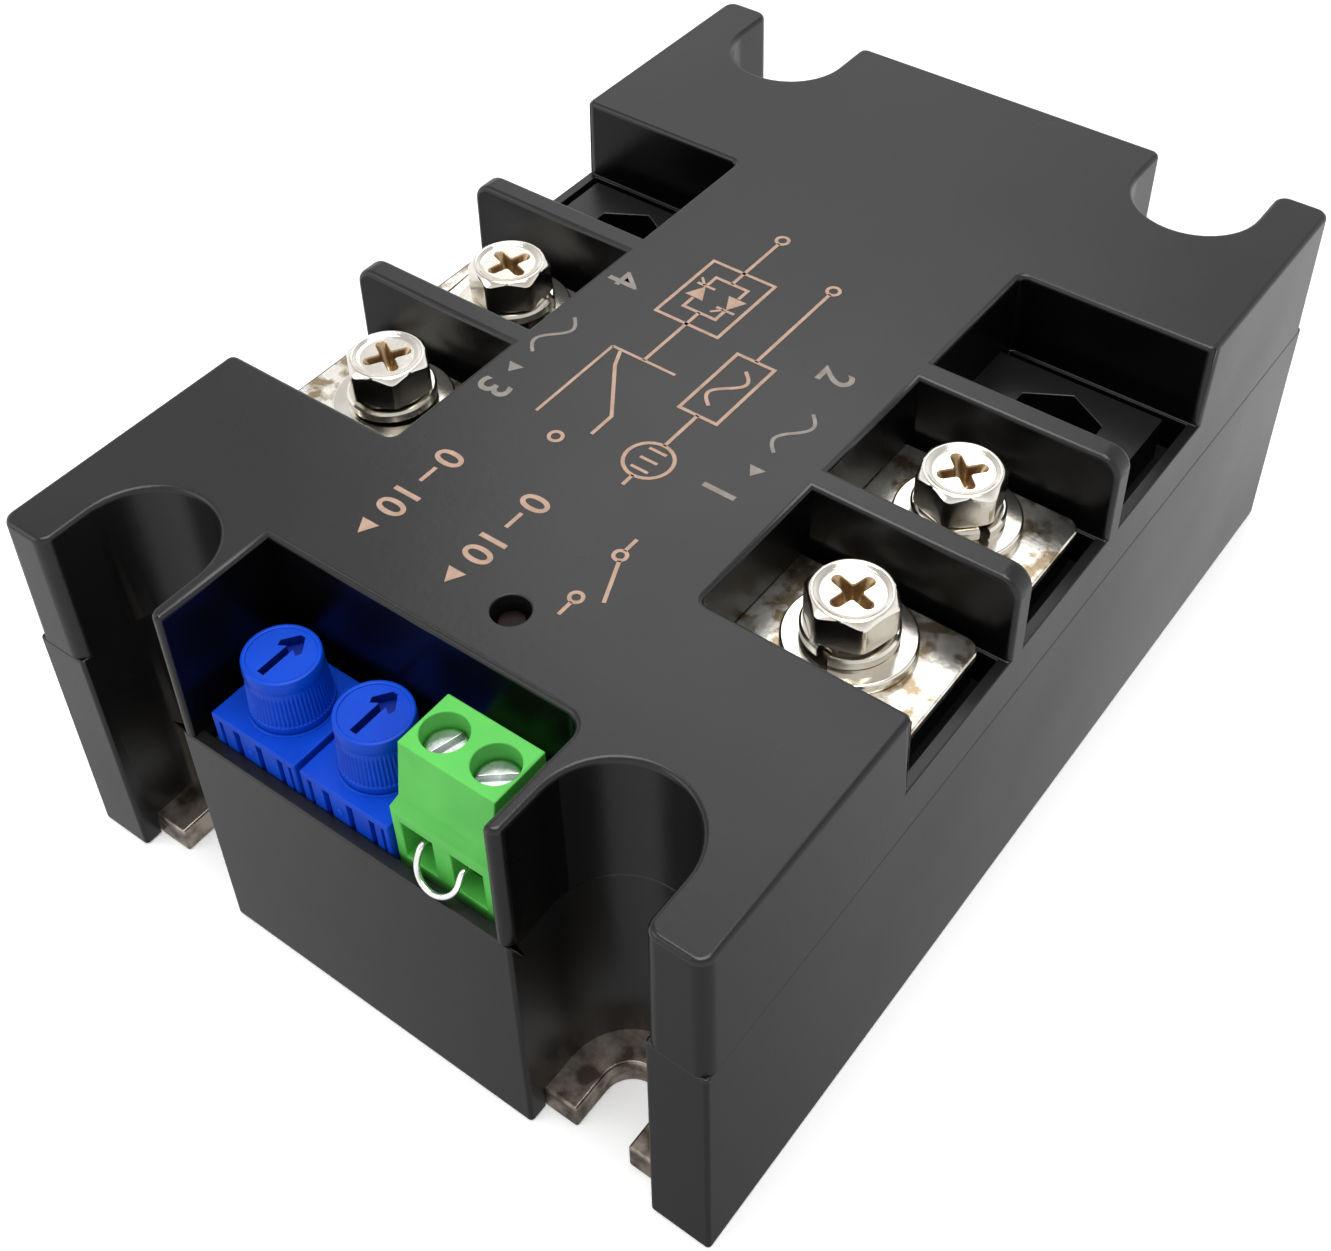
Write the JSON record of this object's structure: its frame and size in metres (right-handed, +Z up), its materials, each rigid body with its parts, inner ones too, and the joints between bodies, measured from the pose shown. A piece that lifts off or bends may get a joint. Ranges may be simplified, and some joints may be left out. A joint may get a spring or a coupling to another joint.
{
  "type": "solid state relay module",
  "caption": "Flat black solid state soft-start relay with screw terminal cells along both sides, metal base plate, trimmers and a small control terminal block.",
  "frame": {"origin": "centre of the base plate's underside", "axes": "+X towards the control end, +Y towards the input terminals, +Z up"},
  "size_m": [0.105, 0.073, 0.041],
  "materials": {
    "case_black": "satin-gloss moulded black ABS",
    "base_nickel": "dull nickel plating",
    "terminal_nickel": "bright nickel-plated strip",
    "screw_nickel": "bright nickel-plated steel",
    "trimmer_blue": "moulded blue nylon",
    "block_green": "moulded green nylon",
    "zinc_steel": "zinc-plated steel",
    "tinned_wire": "tinned copper",
    "copper": "bare copper",
    "gold_pin": "gold-plated",
    "ceramic": "white alumina ceramic",
    "silicon": "polished silicon",
    "board_laminate": "solder-masked laminate",
    "chip_black": "moulded epoxy",
    "capacitor_sleeve": "shrink sleeve",
    "film_capacitor": "moulded case",
    "resistor_body": "lacquered ceramic",
    "varistor_coat": "epoxy dip coat",
    "lamp_lens": "tinted lens"
  },
  "bodies": {
    "case": {"base_plate": "base_nickel", "lower_housing": "case_black", "top_cover": "case_black", "ceramic_substrate": "ceramic", "copper_pads": "copper", "thyristor_chips": "silicon", "gate_pins": "gold_pin", "input_terminal_1": "terminal_nickel", "input_terminal_2": "terminal_nickel", "output_terminal_1": "terminal_nickel", "output_terminal_2": "terminal_nickel", "terminal_nuts": "zinc_steel", "control_board": "board_laminate", "board_screws": "zinc_steel", "trimmer_body_1": "trimmer_blue", "trimmer_body_2": "trimmer_blue", "trimmer_pins": "tinned_wire", "block_housing": "block_green", "contact_pins": "tinned_wire", "wire_link": "tinned_wire", "microcontroller": "chip_black", "optocoupler": "chip_black", "rectifier_bridge": "chip_black", "filter_capacitor": "capacitor_sleeve", "snubber_capacitor": "film_capacitor", "snubber_resistor": "resistor_body", "varistor": "varistor_coat", "indicator_lamp": "lamp_lens"},
    "input_washers_1": {"input_flat_washer_1": "screw_nickel", "input_spring_washer_1": "screw_nickel"},
    "input_screw_1": {"input_screw_1": "screw_nickel"},
    "input_washers_2": {"input_flat_washer_2": "screw_nickel", "input_spring_washer_2": "screw_nickel"},
    "input_screw_2": {"input_screw_2": "screw_nickel"},
    "output_washers_1": {"output_flat_washer_1": "screw_nickel", "output_spring_washer_1": "screw_nickel"},
    "output_screw_1": {"output_screw_1": "screw_nickel"},
    "output_washers_2": {"output_flat_washer_2": "screw_nickel", "output_spring_washer_2": "screw_nickel"},
    "output_screw_2": {"output_screw_2": "screw_nickel"},
    "trimmer_knob_1": {"trimmer_knob_1": "trimmer_blue"},
    "clamp_screw_1": {"clamp_screw_1": "zinc_steel"},
    "clamp_cage_1": {"clamp_cage_1": "zinc_steel"},
    "trimmer_knob_2": {"trimmer_knob_2": "trimmer_blue"},
    "clamp_screw_2": {"clamp_screw_2": "zinc_steel"},
    "clamp_cage_2": {"clamp_cage_2": "zinc_steel"}
  },
  "joints": [
    {"name": "input_washers_1_lift", "type": "slide", "parent": "case", "child": "input_washers_1", "axis": [0, 0, 1], "range_m": [0, 0.0032]},
    {"name": "input_screw_1_turn", "type": "hinge", "parent": "input_washers_1", "child": "input_screw_1", "pos_m": [0.0171, 0.025, 0.0385], "axis": [0, 0, 1], "range_deg": [0, 1440]},
    {"name": "input_washers_2_lift", "type": "slide", "parent": "case", "child": "input_washers_2", "axis": [0, 0, 1], "range_m": [0, 0.0032]},
    {"name": "input_screw_2_turn", "type": "hinge", "parent": "input_washers_2", "child": "input_screw_2", "pos_m": [0, 0.025, 0.0385], "axis": [0, 0, 1], "range_deg": [0, 1440]},
    {"name": "output_washers_1_lift", "type": "slide", "parent": "case", "child": "output_washers_1", "axis": [0, 0, 1], "range_m": [0, 0.0032]},
    {"name": "output_screw_1_turn", "type": "hinge", "parent": "output_washers_1", "child": "output_screw_1", "pos_m": [0.0171, -0.025, 0.0385], "axis": [0, 0, 1], "range_deg": [0, 1440]},
    {"name": "output_washers_2_lift", "type": "slide", "parent": "case", "child": "output_washers_2", "axis": [0, 0, 1], "range_m": [0, 0.0032]},
    {"name": "output_screw_2_turn", "type": "hinge", "parent": "output_washers_2", "child": "output_screw_2", "pos_m": [0, -0.025, 0.0385], "axis": [0, 0, 1], "range_deg": [0, 1440]},
    {"name": "trimmer_knob_1_turn", "type": "hinge", "parent": "case", "child": "trimmer_knob_1", "pos_m": [0.0461, -0.0101, 0.033], "axis": [0, 0, 1], "range_deg": [-135, 135]},
    {"name": "trimmer_knob_2_turn", "type": "hinge", "parent": "case", "child": "trimmer_knob_2", "pos_m": [0.0461, 0, 0.033], "axis": [0, 0, 1], "range_deg": [-135, 135]},
    {"name": "clamp_screw_1_turn", "type": "hinge", "parent": "case", "child": "clamp_screw_1", "pos_m": [0.0458, 0.00746, 0.036], "axis": [0, 0, 1], "range_deg": [0, 720]},
    {"name": "clamp_cage_1_lower", "type": "slide", "parent": "case", "child": "clamp_cage_1", "axis": [0, 0, -1], "range_m": [0, 0.001]},
    {"name": "clamp_screw_2_turn", "type": "hinge", "parent": "case", "child": "clamp_screw_2", "pos_m": [0.0458, 0.01254, 0.036], "axis": [0, 0, 1], "range_deg": [0, 720]},
    {"name": "clamp_cage_2_lower", "type": "slide", "parent": "case", "child": "clamp_cage_2", "axis": [0, 0, -1], "range_m": [0, 0.001]}
  ],
  "couplings": [
    {"joint": "input_screw_1_turn", "follows": "input_washers_1_lift", "rad_per_m": 7853.9},
    {"joint": "input_screw_2_turn", "follows": "input_washers_2_lift", "rad_per_m": 7853.9},
    {"joint": "output_screw_1_turn", "follows": "output_washers_1_lift", "rad_per_m": 7853.9},
    {"joint": "output_screw_2_turn", "follows": "output_washers_2_lift", "rad_per_m": 7853.9},
    {"joint": "clamp_screw_1_turn", "follows": "clamp_cage_1_lower", "rad_per_m": 12566},
    {"joint": "clamp_screw_2_turn", "follows": "clamp_cage_2_lower", "rad_per_m": 12566}
  ]
}
